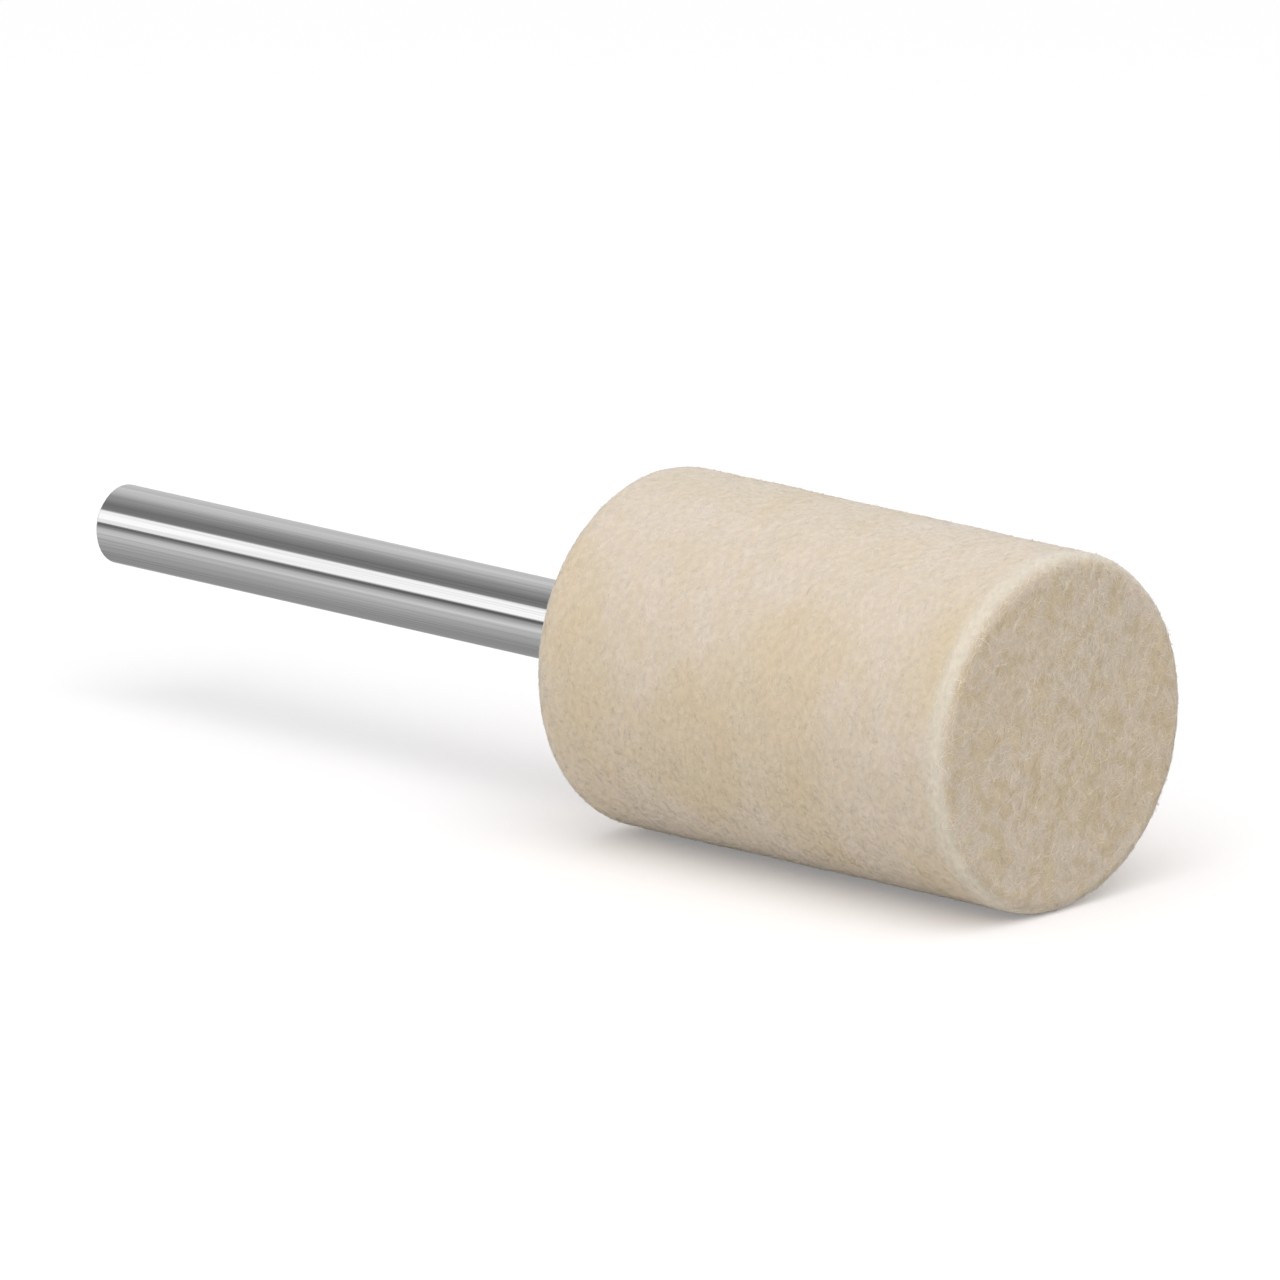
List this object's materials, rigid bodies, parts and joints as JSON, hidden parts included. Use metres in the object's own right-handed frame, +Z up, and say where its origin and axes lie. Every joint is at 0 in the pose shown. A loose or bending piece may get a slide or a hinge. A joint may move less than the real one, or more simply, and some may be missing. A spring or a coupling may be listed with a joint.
{
  "type": "mounted felt bob",
  "caption": "Cylindrical pressed wool felt bob cemented on a straight round steel mandrel, for polishing stone and metal in a rotary tool.",
  "frame": {"origin": "on the spin axis, in the plane of the felt's rear face, where the shank meets it", "axes": "the spin axis is Y: +Y points along the bare shank to its tail, the collet end, and -Y through the felt to its flat working face; +Z is up"},
  "size_m": [0.0136, 0.0471, 0.0134],
  "materials": {
    "wool_felt": "matt, fibrous pressed wool",
    "ground_steel": "ground and polished",
    "cement": "set amber cement"
  },
  "bodies": {
    "root": {"felt_bob": "wool_felt", "mandrel": "ground_steel", "cement_sleeve": "cement"}
  },
  "joints": []
}
